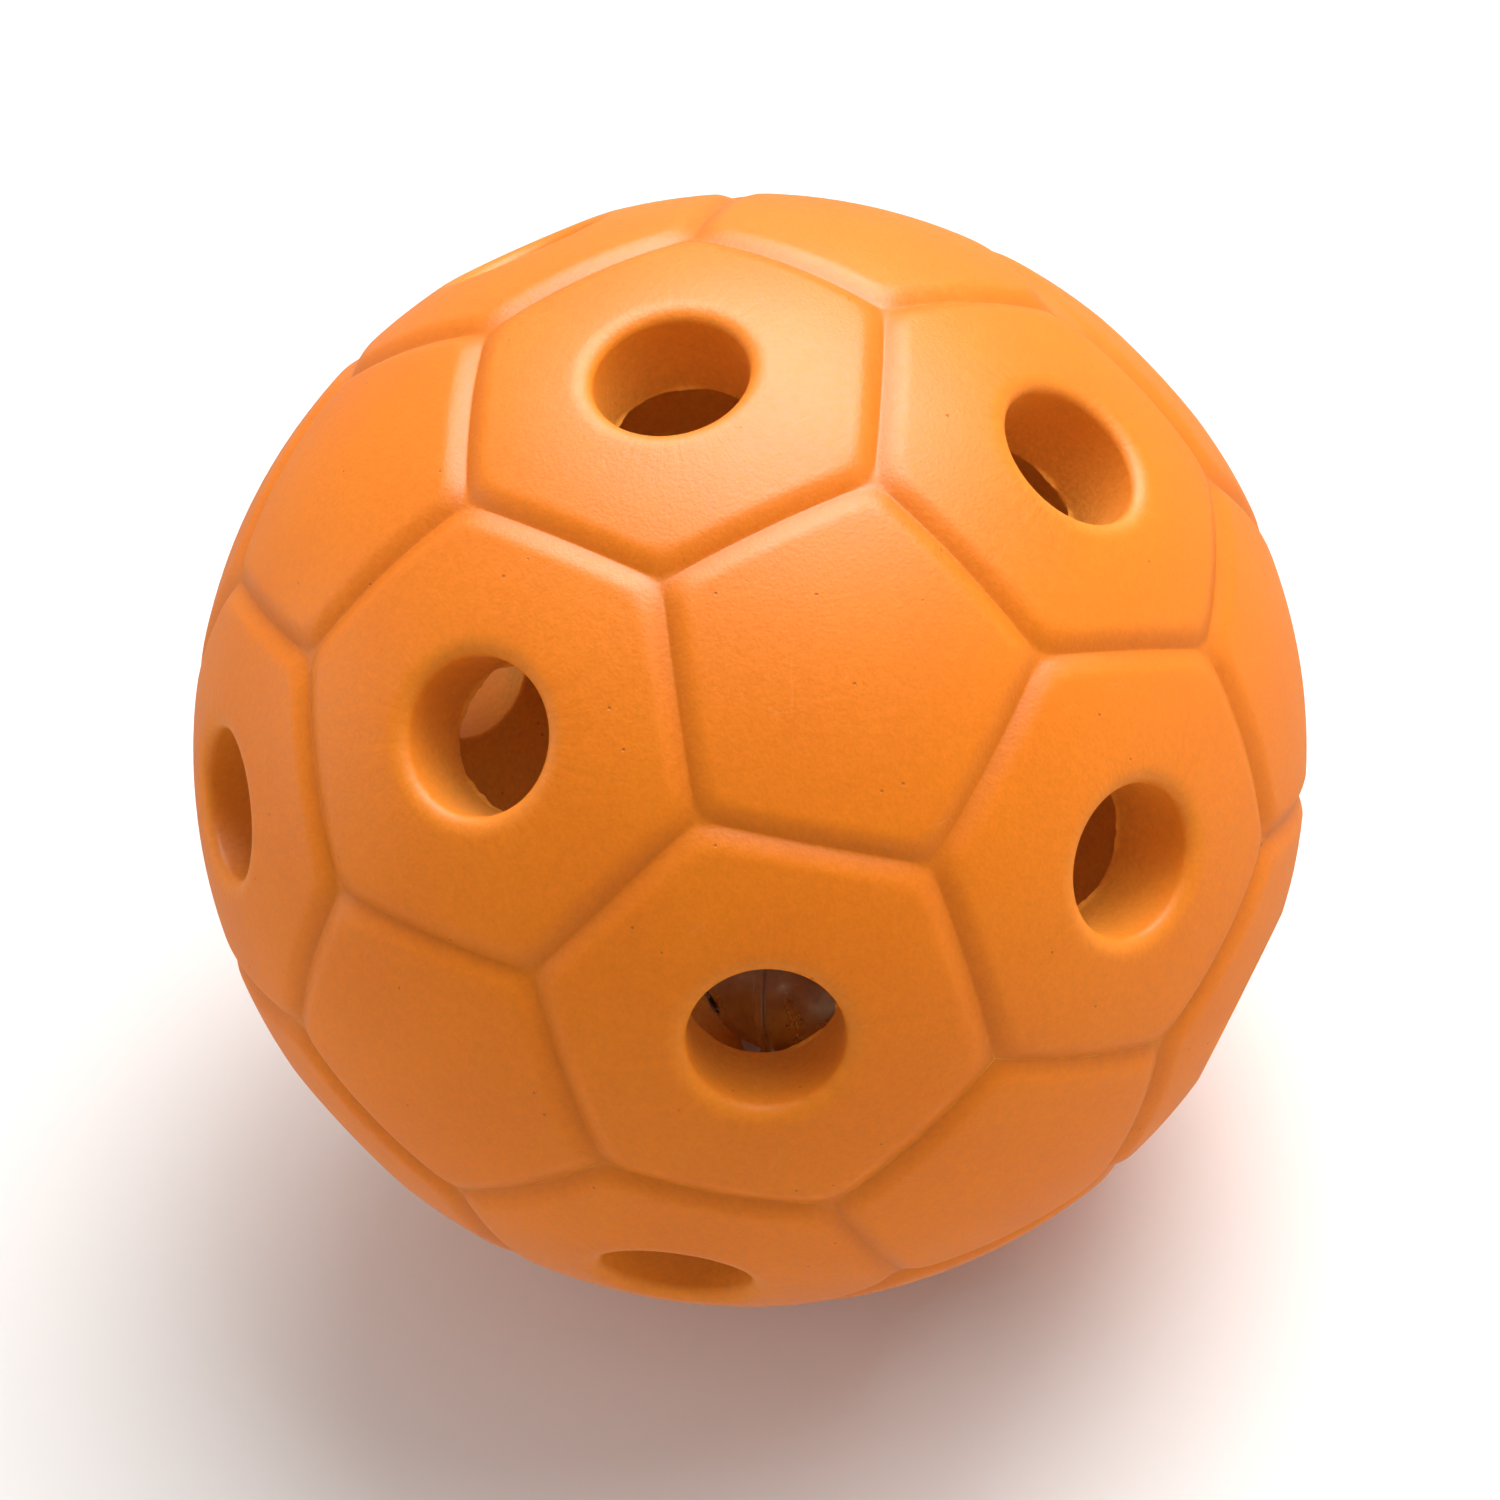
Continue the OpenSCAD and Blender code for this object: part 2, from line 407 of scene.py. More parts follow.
def hole_rows(plan, foam, index):
    """Rows down through one hole, from its outer edge to the cavity wall, and their marks."""
    columns = len(plan.edge)
    surface = foam.radius - SWELL
    lip_angle = math.asin((foam.hole + foam.lip) / surface)
    rim_x = foam.hole + RIM_R
    rim_z = math.sqrt((foam.cavity + RIM_R) ** 2 - rim_x**2)
    rim_angle = math.atan2(rim_x, rim_z)
    lip = np.linspace(0, math.pi / 2, LIP_ROWS + 1)[1:]
    lip_x = foam.hole + foam.lip * (1 - np.sin(lip))
    lip_z = np.sqrt(surface**2 - lip_x**2) - foam.lip_drop * (1 - np.cos(lip))
    rim = np.linspace(-math.pi / 2, rim_angle - math.pi, RIM_ROWS + 1)[1:]
    across = np.concatenate([lip_x, np.full(len(BORE_ROWS), foam.hole), rim_x + RIM_R * np.sin(rim)])
    height = np.concatenate([lip_z, rim_z + np.array(BORE_ROWS) * MM, rim_z + RIM_R * np.cos(rim)])
    steps_across = np.diff(across, prepend=foam.hole + foam.lip)
    steps_down = np.diff(height, prepend=surface * math.cos(lip_angle))
    travel = np.cumsum(np.hypot(steps_across, steps_down))
    ragged = noise_at(plan.out * FLASH_WAVES + plan.centre * (5 + index), 1.0)
    fine = noise_at(plan.out * FLASH_TEETH + plan.centre * (9 + index), 1.0)
    flash = FLASH * np.clip(ragged * 2.4 + 0.1, 0, 1) * (0.75 + 0.5 * fine)
    edge = np.exp(-(((height - rim_z) / FLASH_WIDTH) ** 2))
    across = across[:, None] - edge[:, None] * flash[None, :]
    height = np.broadcast_to(height[:, None], across.shape)
    near = np.clip(1 - travel / RIM_FADE, 0, 1)[:, None]
    deep = (travel / travel[-1])[:, None]
    marks = weights(len(across), columns, rim=near, inside=deep)
    return plan.in_hole(across, height), marks, lip_angle, rim_angle


def add_panel(sheet, centre, corners, index, foam):
    """One panel of a half: its skin, its hole and the cavity wall under it."""
    plan = PanelPlan(centre, corners)
    columns = len(plan.edge)
    near_seam = np.array([plan.angle_at(d * MM, foam.radius) for d in SEAM_ROWS])
    near_seam[0] = plan.reach
    holed = index is not None
    if holed:
        through, through_marks, inner, rim_angle = hole_rows(plan, foam, index)
        turns = plan.out + plan.centre * index
    else:
        inner, turns = CENTRE_GAP, plan.out * 0
    angles = np.vstack([near_seam, blended(near_seam[-1], inner, FACE_ROWS)])
    away = (angles - inner) * foam.radius
    points, share = skin(plan.direction(angles), plan, foam, np.clip(away / CALM, 0, 1) if holed else 1.0)
    rim = np.clip(1 - away / RIM_FADE, 0, 1) * holed
    marks = weights(len(angles), columns, seam=share, rim=rim)
    cavity = blended(rim_angle if holed else CENTRE_GAP, plan.reach[None, :], CAVITY_ROWS)
    wall = plan.direction(cavity) * foam.cavity
    wall_marks = weights(CAVITY_ROWS, columns, inside=1.0)
    if holed:
        sheet.grid(np.vstack([points, through, wall]), np.vstack([marks, through_marks, wall_marks]), turns)
        return plan
    ids = sheet.grid(points, marks, turns)
    top, _ = skin(centre[None, :], plan, foam)
    sheet.fan(ids[-1], top, np.zeros((1, 3)), np.zeros((1, 3)))
    first = plan.direction(np.full((1, columns), CENTRE_GAP)) * foam.cavity
    ids = sheet.grid(np.vstack([first, wall]), weights(CAVITY_ROWS + 1, columns, inside=1.0), turns)
    sheet.fan(ids[0][::-1], centre[None, :] * foam.cavity, np.array([[0, 0, 1.0]]), np.zeros((1, 3)))
    return plan


def add_joint_face(sheet, plan, side, foam):
    """The face along one side of a panel where the two halves meet."""
    columns = np.arange(side * SIDE_STEPS, (side + 1) * SIDE_STEPS + 1) % len(plan.edge)
    edge = plan.edge[columns[::-1]]
    outer, _ = skin(edge, plan, foam)
    t = np.linspace(0, 1, WALL_ROWS)[:, None, None]
    points = outer[None] * (1 - t) + (edge * foam.cavity)[None] * t
    marks = weights(WALL_ROWS, len(columns), inside=1.0)
    sheet.grid(points, marks, np.zeros(3), closed=False)


def half_mesh(name, sign, foam):
    """One moulding as a closed mesh: outer skin, holes, cavity wall and the joint's faces."""
    every = panels()
    sheet = Sheet()
    for centre, corners, index in every:
        if centre[2] * sign < 0:
            continue
        plan = add_panel(sheet, centre, corners, index, foam)
        for side, (a, b) in enumerate(zip(corners, corners[1:] + corners[:1])):
            middle = unit(a + b)
            beyond = unit(middle - 0.1 * plan.sides[side])
            nearest = min(every, key=lambda p: -(seam_side(p, beyond)))
            if nearest[0][2] * sign < 0:
                add_joint_face(sheet, plan, side, foam)
    return sheet.mesh(name)


def seam_side(panel, direction):
    """How far inside a panel a direction lies: the least of its heights over the sides' planes."""
    _, corners, _ = panel
    return min(unit(np.cross(a, b)) @ direction for a, b in zip(corners, corners[1:] + corners[:1]))


# ---------------------------------------------------------------- bell meshes

AROUND = 128                     # mesh columns around the bell
DOME_ROWS = 26
RIM_STEP = 0.4 * MM              # from the cups' round wall to the lower cup's rim
FOLD_T = 0.6 * MM                # thickness of the flat rims and of the fold
CRIMP_GAP = 0.05 * MM
CUP_GAP = 0.15 * MM
SLOT_REACH = math.radians(50)    # from the bell's pole to each slot's round end
BEND_R = 1.5 * MM                # of the wire's feet
FOOT = 2.6 * MM
WIRE_SIDES = 20


def rounded(points, radii, steps=5):
    """A line through these 2-D points, with each inner corner rounded to its radius."""
    line = [np.array(points[0], float)]
    for before, at, after, radius in zip(points, points[1:], points[2:], radii):
        before, at, after = (np.array(p, float) for p in (before, at, after))
        a, b = unit(before - at), unit(after - at)
        half = math.acos(np.clip(a @ b, -1, 1)) / 2
        back = radius / math.tan(half)
        start, end = at + a * back, at + b * back
        centre = at + unit(a + b) * radius / math.sin(half)
        for t in np.linspace(0, 1, steps + 1):
            spoke = (1 - t) * (start - centre) + t * (end - centre)
            line.append(centre + unit(spoke) * radius)
    line.append(np.array(points[-1], float))
    return np.array(line)


def dome_line(radius, from_pole, to_pole, rows):
    """Points down a round cup's wall, as distance from the axis and height."""
    angles = np.linspace(from_pole, to_pole, rows)
    return np.stack([radius * np.sin(angles), radius * np.cos(angles)], axis=1)


def revolved(name, profile):
    """A closed mesh turned about +Z from a line that starts and ends on the axis."""
    turns = np.linspace(0, 2 * math.pi, AROUND, endpoint=False)
    spokes = np.stack([np.cos(turns), np.sin(turns), 0 * turns], axis=1)
    sheet = Sheet()
    across, height = profile[1:-1, 0][:, None, None], profile[1:-1, 1][:, None, None]
    points = across * spokes + height * np.array([0, 0, 1.0])
    ids = sheet.grid(points[::-1], weights(len(points), AROUND), np.zeros(3))
    nothing = np.zeros((1, 3))
    sheet.fan(ids[-1], np.array([[0, 0, profile[0, 1]]]), nothing, nothing)
    sheet.fan(ids[0][::-1], np.array([[0, 0, profile[-1, 1]]]), nothing, nothing)
    return sheet.mesh(name)


def upper_cup_mesh(bell):
    """Cup with its flat rim folded down and back under the lower cup's."""
    outer = CUP_RIM_R - RIM_STEP
    inner = outer - bell.sheet
    leave = math.acos((FOLD_T + 0.5 * MM) / outer)
    bottom = -2 * FOLD_T - CRIMP_GAP
    corners = [
        (outer * math.sin(leave), outer * math.cos(leave)), (outer + 0.02 * MM, FOLD_T), (CRIMP_R, FOLD_T),
        (CRIMP_R, bottom), (outer + CUP_GAP, bottom), (outer + CUP_GAP, bottom + FOLD_T),
        (CUP_RIM_R + CRIMP_GAP, bottom + FOLD_T), (CUP_RIM_R + CRIMP_GAP, 0), (inner + 0.3 * MM, 0),
        (inner, 0.6 * MM)]
    radii = [0.3 * MM, 0.58 * MM, 0.58 * MM, 0.25 * MM, 0.12 * MM, 0.02 * MM, 0.02 * MM, 0.15 * MM]
    rim = rounded(corners, radii)
    return revolved("bell_cup_with_loop_holes", np.vstack([
        dome_line(outer, 0, leave, DOME_ROWS)[:-1], rim,
        dome_line(inner, math.acos(0.7 * MM / inner), 0, DOME_ROWS)]))


def lower_cup_mesh(bell):
    """Cup with a plain flat rim, before its slots are cut."""
    outer = CUP_RIM_R - RIM_STEP
    inner = outer - bell.sheet
    leave = math.acos((FOLD_T + 0.4 * MM) / outer)
    corners = [
        (inner, -0.6 * MM), (inner + 0.3 * MM, -0.02 * MM), (CUP_RIM_R, -0.02 * MM),
        (CUP_RIM_R, -FOLD_T), (outer + 0.05 * MM, -FOLD_T),
        (outer * math.sin(leave), -outer * math.cos(leave))]
    rim = rounded(corners, [0.15 * MM, 0.2 * MM, 0.2 * MM, 0.1 * MM])
    flip = np.array([1, -1])
    return revolved("bell_cup_with_slots", np.vstack([
        dome_line(inner, 0, math.acos(0.7 * MM / inner), DOME_ROWS) * flip, rim,
        dome_line(outer, leave, 0, DOME_ROWS) * flip]))


def rod(name, matrix, size, sides):
    """A plain cutter: a prism or box that stands on its own middle."""
    mesh = bpy.data.meshes.new(name)
    bm = bmesh.new()
    if sides:
        bmesh.ops.create_cone(
            bm, cap_ends=True, segments=sides, radius1=size[0], radius2=size[0], depth=size[1])
    else:
        bmesh.ops.create_cube(bm, size=1, matrix=Matrix.Diagonal((*size, 1)))
    bmesh.ops.transform(bm, matrix=matrix, verts=bm.verts)
    bm.to_mesh(mesh)
    bm.free()
    return bpy.data.objects.new(name, mesh)


def cut(piece, cutters, edge):
    """Cuts the pieces' holes, softens the pressed edges and keeps the result as the mesh."""
    for cutter in cutters:
        bpy.context.scene.collection.objects.link(cutter)
        way = piece.modifiers.new("cut", "BOOLEAN")
        way.operation, way.solver, way.object = "DIFFERENCE", "EXACT", cutter
    soft = piece.modifiers.new("soft edge", "BEVEL")
    soft.width, soft.segments, soft.limit_method = edge, 2, "ANGLE"
    soft.angle_limit = math.radians(50)
    made = bpy.data.meshes.new_from_object(piece.evaluated_get(bpy.context.evaluated_depsgraph_get()))
    piece.modifiers.clear()
    made.name = piece.name
    piece.data = made
    for cutter in cutters:
        bpy.data.objects.remove(cutter)
    made.shade_smooth()
    made.set_sharp_from_angle(angle=math.radians(40))


def slot_cutters(bell):
    """The crossed slots and their round ends, at the lower cup's pole."""
    outer = CUP_RIM_R - RIM_STEP
    deep = outer * math.cos(SLOT_REACH)
    cutters = []
    for turn in (0, math.pi / 2):
        about = Matrix.Rotation(turn, 4, "Z")
        size = (2 * outer * math.sin(SLOT_REACH), bell.slot, outer)
        down = Matrix.Translation((0, 0, -deep + 0.6 * MM - outer / 2))
        cutters.append(rod("slot", about @ down, size, 0))
        for side in (-1, 1):
            lean = Matrix.Rotation(side * SLOT_REACH, 4, "Y")
            out = Matrix.Translation((0, 0, -outer))
            cutters.append(rod("slot_end", about @ lean @ out, (bell.slot_end / 2, outer), 40))
    return cutters


def loop_cutters(bell, leg):
    """The two holes that the wire's legs pass through."""
    size = (bell.wire / 2 + 0.08 * MM, 4 * leg)
    return [rod("leg_hole", Matrix.Translation((x, 0, CUP_RIM_R)), size, 32) for x in (-leg, leg)]


def loop_mesh(bell):
    """Bent wire with an arch, two legs and a foot on each."""
    radius = bell.wire / 2
    leg = LOOP_OUTER_R - radius
    outer = CUP_RIM_R - RIM_STEP
    top, foot = outer + 1 * MM, outer - bell.sheet - 2 * radius
    arch = [(leg * math.cos(t), top + leg * math.sin(t)) for t in np.linspace(0, math.pi, 33)]
    side = rounded([(leg - FOOT, foot), (leg, foot), (leg, top)], [BEND_R], 8)[:-1]
    line = np.vstack([side, arch, (side * np.array([-1, 1]))[::-1]])
    along = np.gradient(line, axis=0)
    along /= np.linalg.norm(along, axis=1)[:, None]
    normal = np.stack([-along[:, 1], along[:, 0]], axis=1)
    turns = np.linspace(0, 2 * math.pi, WIRE_SIDES, endpoint=False)
    inset = 0.2 * radius
    spine = np.vstack([line[0] - along[0] * inset, line, line[-1] + along[-1] * inset])
    normal = np.vstack([normal[:1], normal, normal[-1:]])
    thick = np.full(len(spine), radius)
    thick[[0, -1]] = radius - inset
    flat = np.cos(turns)[None, :, None] * normal[:, None, :] * thick[:, None, None] + spine[:, None, :]
    depth = np.sin(turns)[None, :] * thick[:, None]
    points = np.stack([flat[..., 0], depth, flat[..., 1]], axis=-1)
    sheet = Sheet()
    ids = sheet.grid(points, weights(len(spine), WIRE_SIDES), np.zeros(3))
    nothing = np.zeros((1, 3))
    sheet.fan(ids[-1], points[-1].mean(axis=0)[None, :], nothing, nothing)
    sheet.fan(ids[0][::-1], points[0].mean(axis=0)[None, :], nothing, nothing)
    return sheet.mesh("bell_wire_loop")


# ---------------------------------------------------------------- materials


def add(tree, kind, feeds=None, **settings):
    """Adds a node with its settings, and gives its inputs their values or links."""
    node = tree.nodes.new("ShaderNode" + kind)
    for name, value in settings.items():
        setattr(node, name, value)
    for name, value in (feeds or {}).items():
        if isinstance(value, bpy.types.NodeSocket):
            tree.links.new(value, node.inputs[name])
        else:
            node.inputs[name].default_value = value
    return node


def new_material(name):
    """An empty node material, its tree and its position on the piece."""
    material = bpy.data.materials.new(name)
    material.use_nodes = True
    tree = material.node_tree
    tree.nodes.clear()
    return material, tree, add(tree, "TexCoord").outputs["Object"]


def per(size):
    """Texture scale that repeats about once in a real size."""
    return 1 / size


def foam_rubber(foam):
    """Polyurethane foam rubber, moulded with an integral skin: satin, finely grained, with small pores."""
    material, tree, place = new_material("foam_rubber_integral_skin")
    seam, rim, inside = (
        add(tree, "Attribute", attribute_name=mark).outputs["Fac"] for mark in ("seam", "rim", "inside"))
    turn = add(tree, "Attribute", attribute_name="turn").outputs["Vector"]

    # Slow mottling, 24 mm, where the skin is thicker or thinner
    mottle = add(tree, "TexNoise", {"Vector": place, "Scale": per(24 * MM), "Detail": 3.0}).outputs["Fac"]
    mottled = add(tree, "MapRange", {"Value": mottle, "From Min": 0.35, "From Max": 0.65, "To Max": 0.35})
    colour = add(tree, "Mix", {
        0: mottled.outputs[0], 6: foam.colour, 7: foam.deep}, data_type="RGBA").outputs[2]
    # Down the holes and in the cavity the foam shows through its thin skin. Its paler, more golden colour there is
    # partly that foam's own and partly painted light, for the light that bounces round inside the ball
    colour = add(tree, "Mix", {0: inside, 6: colour, 7: foam.inner}, data_type="RGBA").outputs[2]

    # Grain of the mould's blasted face. The real 0.35 mm is drawn at 0.6 mm, which still shows
    grain = add(tree, "TexNoise", {"Vector": place, "Scale": per(0.6 * MM), "Detail": 2.0}).outputs["Fac"]
    speckle = add(tree, "TexNoise", {"Vector": place, "Scale": per(1.4 * MM), "Detail": 3.0}).outputs["Fac"]
    both = add(tree, "Math", {0: grain, 1: speckle}, operation="ADD").outputs[0]
    tone = add(tree, "MapRange", {
        "Value": both, "From Min": 0.7, "From Max": 1.3, "To Min": 0.95, "To Max": 1.05}).outputs[0]

    # Sparse open pores, 0.4 mm wide and about 5 mm apart
    cell = add(tree, "TexVoronoi", {"Vector": place, "Scale": per(5 * MM)})
    pore = add(tree, "MapRange", {
        "Value": cell.outputs["Distance"],
        "From Min": 0.035, "From Max": 0.06, "To Min": 1.0, "To Max": 0.0},
        interpolation_type="SMOOTHSTEP").outputs[0]
    some = add(tree, "SeparateColor", {0: cell.outputs["Color"]}).outputs[0]
    chosen = add(tree, "Math", {0: some, 1: 0.45}, operation="GREATER_THAN").outputs[0]
    pore = add(tree, "Math", {0: pore, 1: chosen}, operation="MULTIPLY").outputs[0]

    # Cells of the foam where the skin is thin: down the holes and in the cavity, 0.9 mm across
    cells = add(tree, "TexVoronoi", {"Vector": place, "Scale": per(0.9 * MM)}).outputs["Distance"]
    open_cells = add(tree, "Math", {0: cells, 1: inside}, operation="MULTIPLY").outputs[0]

    # Fine drag lines round each hole's edge, straight out from its middle, 1 mm apart
    drag = add(tree, "TexNoise", {"Vector": turn, "Scale": 15.0, "Detail": 3.0}).outputs["Fac"]
    drag = add(tree, "MapRange", {
        "Value": drag, "From Min": 0.35, "From Max": 0.65, "To Min": -1.0, "To Max": 1.0}).outputs[0]
    drag = add(tree, "Math", {0: drag, 1: rim}, operation="MULTIPLY").outputs[0]

    # Faint scuffs: short thin lines, a little paler than the skin
    bend = add(tree, "TexNoise", {"Vector": place, "Scale": per(30 * MM), "Detail": 2.0}).outputs["Color"]
    bent = add(tree, "VectorMath", {0: bend, "Scale": 0.02}, operation="SCALE").outputs[0]
    moved = add(tree, "VectorMath", {0: place, 1: bent}, operation="ADD").outputs[0]
    line = add(tree, "TexVoronoi", {"Vector": moved, "Scale": per(16 * MM)}, feature="DISTANCE_TO_EDGE")
    scuff = add(tree, "MapRange", {
        "Value": line.outputs["Distance"],
        "From Min": 0.003, "From Max": 0.01, "To Min": 1.0, "To Max": 0.0})
    where = add(tree, "TexNoise", {"Vector": place, "Scale": per(7 * MM), "Detail": 1.0}).outputs["Fac"]
    where = add(tree, "MapRange", {
        "Value": where, "From Min": 0.62, "From Max": 0.7, "To Max": 0.06}).outputs[0]
    scuff = add(tree, "Math", {0: scuff.outputs[0], 1: where}, operation="MULTIPLY").outputs[0]

    # Pores and open cells are darker: painted shade in their pits. Scuffs and stretched foam at the edges are
    # paler
    shade = add(tree, "Math", {0: pore, 1: -0.3, 2: tone}, operation="MULTIPLY_ADD").outputs[0]
    shade = add(tree, "Math", {0: drag, 1: 0.02, 2: shade}, operation="MULTIPLY_ADD").outputs[0]
    shade = add(tree, "Math", {0: open_cells, 1: -0.12, 2: shade}, operation="MULTIPLY_ADD").outputs[0]
    # Darker towards the bottom of each channel between panels: painted shade in the crease
    shade = add(tree, "Math", {0: seam, 1: -0.14, 2: shade}, operation="MULTIPLY_ADD").outputs[0]
    colour = add(tree, "HueSaturation", {"Color": colour, "Value": shade}).outputs["Color"]
    pale = linear("#FFC890")
    colour = add(tree, "Mix", {0: scuff, 6: colour, 7: pale}, data_type="RGBA").outputs[2]

    # Height of all of these in millimetres, for one bump
    height = add(tree, "Math", {0: grain, 1: 0.06}, operation="MULTIPLY").outputs[0]
    layers = ((speckle, 0.035), (pore, -0.12), (open_cells, -0.08), (drag, 0.015), (scuff, -0.03))
    for layer, depth in layers:
        height = add(tree, "Math", {0: layer, 1: depth, 2: height}, operation="MULTIPLY_ADD").outputs[0]
    bump = add(tree, "Bump", {"Height": height, "Distance": 1 * MM, "Strength": 1.0}).outputs["Normal"]

    rough = add(tree, "MapRange", {
        "Value": speckle, "From Min": 0.3, "From Max": 0.7, "To Min": 0.42, "To Max": 0.5}).outputs[0]
    rough = add(tree, "Math", {0: inside, 1: 0.3, 2: rough}, operation="MULTIPLY_ADD").outputs[0]
    shader = add(tree, "BsdfPrincipled", {
        "Base Color": colour, "Roughness": rough, "IOR": 1.5, "Specular IOR Level": 0.22, "Normal": bump,
        "Subsurface Weight": 0.12, "Subsurface Radius": (1.0, 0.35, 0.08), "Subsurface Scale": 1.2 * MM})
    add(tree, "OutputMaterial", {"Surface": shader.outputs[0]})
    return material


def polished_metal(name, colour, rough, wear_size):
    """A metal surface with fine rub marks, soft smears and a little unevenness left by pressing."""
    material, tree, place = new_material(name)
    smear = add(tree, "TexNoise", {"Vector": place, "Scale": per(wear_size), "Detail": 4.0}).outputs["Fac"]
    # Tumbling scratches, about 0.08 mm wide, drawn at 0.3 mm so that they show
    squeeze = add(tree, "Mapping", {
        "Vector": place, "Scale": (1.0, 0.12, 0.35), "Rotation": (0.4, 0.9, 0.2)})
    marks = add(tree, "TexNoise", {
        "Vector": squeeze.outputs[0], "Scale": per(0.3 * MM), "Detail": 2.0}).outputs["Fac"]
    spread = add(tree, "MapRange", {
        "Value": smear, "From Min": 0.35, "From Max": 0.7, "To Min": rough * 0.7, "To Max": rough * 1.9})
    rub = add(tree, "MapRange", {
        "Value": marks, "From Min": 0.45, "From Max": 0.62, "To Min": 0.0, "To Max": 0.12})
    rough = add(tree, "Math", {0: spread.outputs[0], 1: rub.outputs[0]}, operation="ADD").outputs[0]
    dull = add(tree, "MapRange", {
        "Value": smear, "From Min": 0.3, "From Max": 0.75, "To Min": 1.04, "To Max": 0.86})
    tint = add(tree, "HueSaturation", {"Color": colour, "Value": dull.outputs[0]}).outputs["Color"]
    lift = add(tree, "Math", {0: marks, 1: 0.004}, operation="MULTIPLY").outputs[0]
    lift = add(tree, "Math", {0: smear, 1: 0.03, 2: lift}, operation="MULTIPLY_ADD").outputs[0]
    bump = add(tree, "Bump", {"Height": lift, "Distance": 1 * MM, "Strength": 1.0}).outputs["Normal"]
    shader = add(tree, "BsdfPrincipled", {
        "Base Color": tint, "Metallic": 1.0, "Roughness": rough, "Normal": bump})
    add(tree, "OutputMaterial", {"Surface": shader.outputs[0]})
    return material


def floor_paint(colour):
    """Matt painted board, rolled: nearly even, with a faint stipple of 1.5 mm."""
    material, tree, place = new_material("painted_board_matt")
    stipple = add(tree, "TexNoise", {"Vector": place, "Scale": per(1.5 * MM), "Detail": 2.0}).outputs["Fac"]
    bump = add(tree, "Bump", {"Height": stipple, "Distance": 0.02 * MM, "Strength": 0.5}).outputs["Normal"]
    shader = add(tree, "BsdfPrincipled", {"Base Color": colour, "Roughness": 0.8, "Normal": bump})
    add(tree, "OutputMaterial", {"Surface": shader.outputs[0]})
    return material


# ---------------------------------------------------------------- operators


def new_piece(mesh, material):
    """An object for a finished mesh, linked to the scene."""
    piece = bpy.data.objects.new(mesh.name, mesh)
    bpy.context.scene.collection.objects.link(piece)
    mesh.materials.clear()
    mesh.materials.append(material)
    return piece


class SOUNDBALL_OT_halves(Operator):
    """Build the two moulded foam-rubber halves"""

    bl_idname = "sound_football.halves"
    bl_label = "Build ball halves"

    def execute(self, context):
        foam = context.scene.sound_football_foam
        material = foam_rubber(foam)
        for node, sign in (("upper_half", 1), ("lower_half", -1)):
            piece = new_piece(half_mesh("ball_" + node, sign, foam), material)
            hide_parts(node)
            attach(piece, "ball")
        return {"FINISHED"}


class SOUNDBALL_OT_bell(Operator):
    """Build the jingle bell's two pressed cups and wire loop, and give the loose pellet its material"""

    bl_idname = "sound_football.bell"
    bl_label = "Build jingle bell"

    def execute(self, context):
        bell = context.scene.sound_football_bell
        # Nickel plate on pressed steel, tumbled, with fine rub marks. Its colour is darker and warmer than bright
        # nickel: painted reflection of the orange foam round the bell
        plate = polished_metal("nickel_plate_tumbled_painted_reflection", bell.plate, 0.3, 5 * MM)
        # Steel wire, drawn and plated: a little greyer, with marks along its length
        wire = polished_metal("steel_wire_drawn", linear("#CFCDC6"), 0.22, 3 * MM)
        # Carbon-steel ball, rolled: grey and satin
        pellet = polished_metal("carbon_steel_rolled", linear("#8E8F90"), 0.34, 1.5 * MM)
        leg = LOOP_OUTER_R - bell.wire / 2
        parts = [
            (upper_cup_mesh(bell), plate, loop_cutters(bell, leg), "bell_upper_cup", "nickel_plate"),
            (lower_cup_mesh(bell), plate, slot_cutters(bell), "bell_lower_cup", "nickel_plate"),
            (loop_mesh(bell), wire, [], "bell_loop", "steel_wire")]
        down = Vector((0, 0, -1))
        place = Matrix((down, BELL_AXIS.cross(down), BELL_AXIS)).transposed().to_4x4()
        place.translation = BELL_CENTRE
        for mesh, material, cutters, node, slot in parts:
            piece = new_piece(mesh, material)
            if cutters:
                cut(piece, cutters, 0.12 * MM)
            piece.data.transform(place)
            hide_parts(node)
            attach(piece, "bell")
        ball = frame["nodes"]["bell_pellet"]
        ball.data.materials.clear()
        ball.data.materials.append(pellet)
        return {"FINISHED"}


